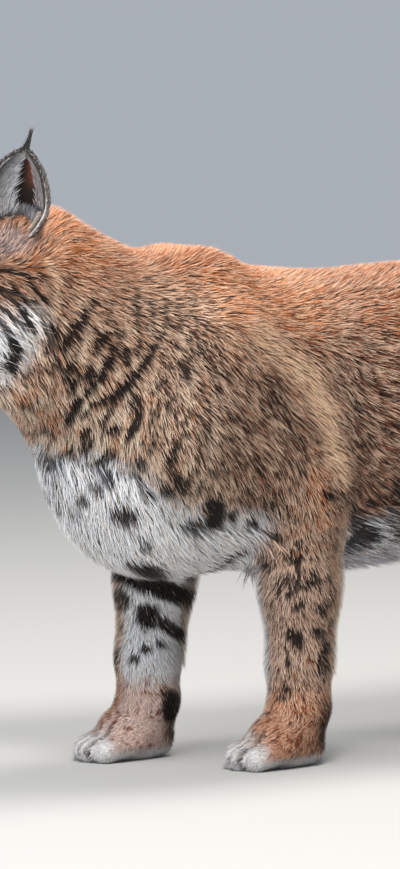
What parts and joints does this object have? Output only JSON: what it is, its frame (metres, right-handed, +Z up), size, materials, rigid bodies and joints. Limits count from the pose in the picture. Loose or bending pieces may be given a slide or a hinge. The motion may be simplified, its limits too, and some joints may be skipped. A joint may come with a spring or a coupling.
{
  "type": "red lynx",
  "caption": "Still, life-size red lynx in winter coat, standing in mid stride on four level paws, with tufted ears, cheek ruff and a short tail.",
  "frame": {"origin": "on the floor under the middle of the model's outline seen from above", "axes": "+Z up, -X the way the animal faces, -Y its left side"},
  "size_m": [0.8964, 0.2498, 0.5832],
  "materials": {
    "coat_rufous": "dense winter fur, rufous brown with black ticking and spots, white below",
    "coat_paw": "short dense fur, orange brown to white",
    "ear": "short dark fur behind, pale hair inside, black tuft",
    "eye": "wet amber eye with round pupil",
    "nose": "damp, finely pebbled skin"
  },
  "bodies": {
    "root": {"torso": "coat_rufous", "neck": "coat_rufous", "head": "coat_rufous", "foreleg_left": "coat_rufous", "foreleg_right": "coat_rufous", "hindleg_left": "coat_rufous", "hindleg_right": "coat_rufous", "tail": "coat_rufous", "forepaw_left": "coat_paw", "forepaw_right": "coat_paw", "hindpaw_left": "coat_paw", "hindpaw_right": "coat_paw", "ear_left": "ear", "ear_right": "ear", "eye_left": "eye", "eye_right": "eye", "nose": "nose"}
  },
  "joints": []
}
